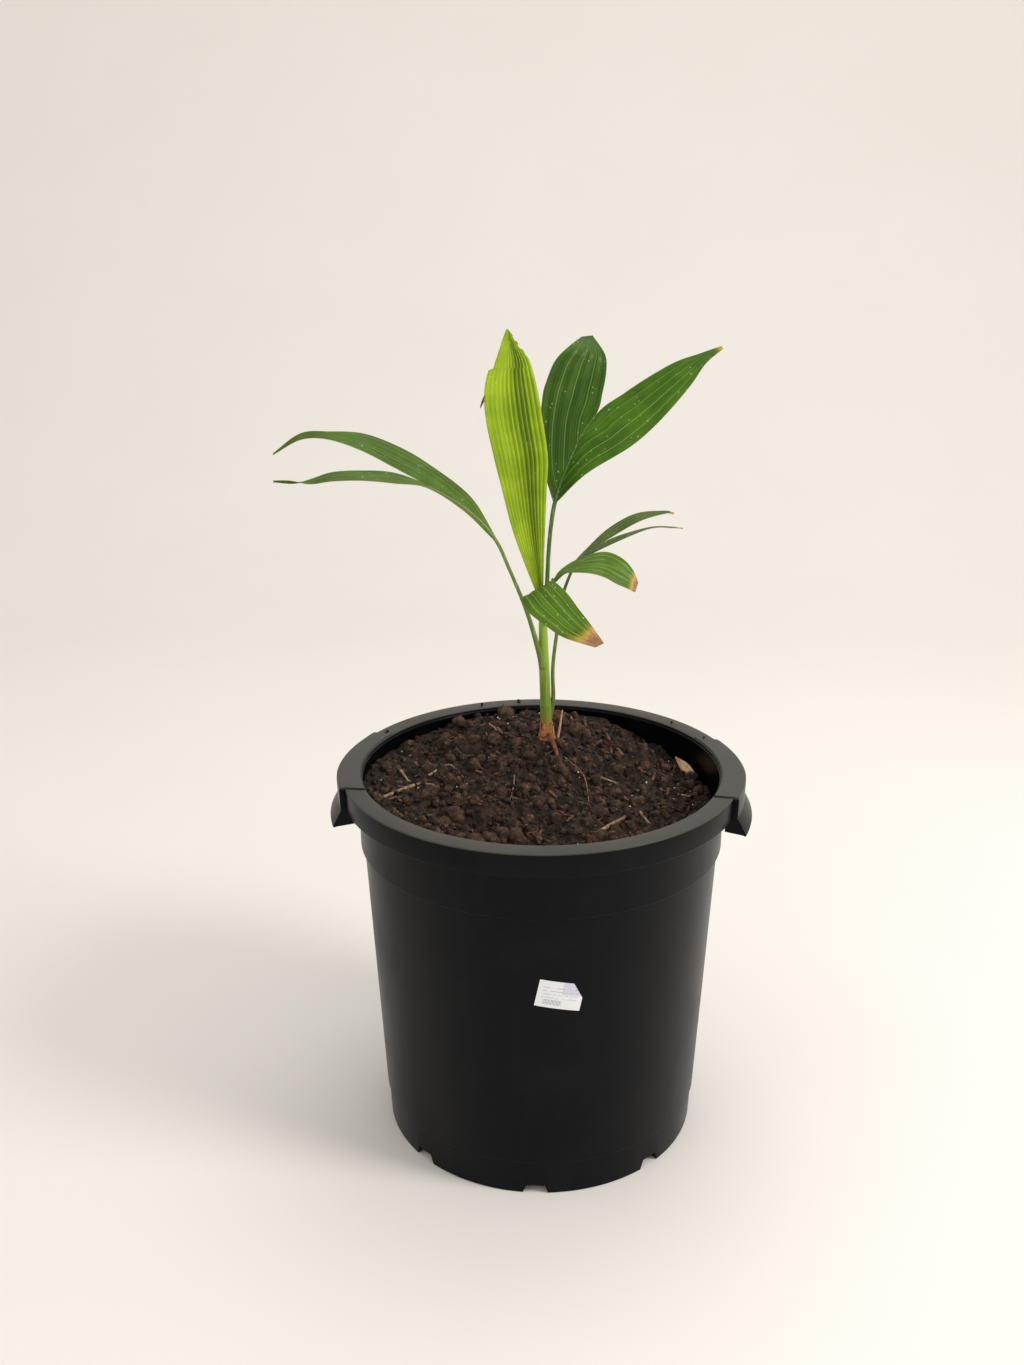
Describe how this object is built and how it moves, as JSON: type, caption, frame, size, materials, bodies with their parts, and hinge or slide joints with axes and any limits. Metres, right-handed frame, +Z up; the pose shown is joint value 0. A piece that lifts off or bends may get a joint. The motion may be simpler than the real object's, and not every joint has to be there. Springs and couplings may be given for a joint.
{
  "type": "potted solitaire palm",
  "caption": "Young solitaire palm with two-lobed leaves on slim stalks, growing from a mound of potting mix in a round black nursery pot with hand grips.",
  "frame": {"origin": "centre of the flat pad in the middle of the pot's underside", "axes": "+Z up along the pot's axis; -Y towards the label; +X and -X towards the two hand grips"},
  "size_m": [0.3975, 0.332, 0.6784],
  "materials": {
    "pot_plastic": "satin black",
    "label_paper": "coated white",
    "potting_mix": "rough and crumbly",
    "stem": "smooth green",
    "stalk": "smooth green",
    "leaf": "glossy green",
    "young_leaf": "glossy yellow-green"
  },
  "bodies": {
    "root": {"pot": "pot_plastic", "label": "label_paper", "soil": "potting_mix", "stem": "stem", "left_leaf_stalk": "stalk", "left_leaf_far_lobe": "leaf", "left_leaf_near_lobe": "leaf", "spear_leaf_stalk": "stalk", "spear_leaf": "young_leaf", "tall_leaf_stalk": "stalk", "tall_leaf_left_lobe": "leaf", "tall_leaf_right_lobe": "leaf", "drooping_leaf_stalk": "stalk", "drooping_leaf_right_lobe": "leaf", "drooping_leaf_front_lobe": "leaf", "low_leaf_stalk": "stalk", "low_leaf_far_lobe": "leaf", "low_leaf_near_lobe": "leaf"}
  },
  "joints": []
}
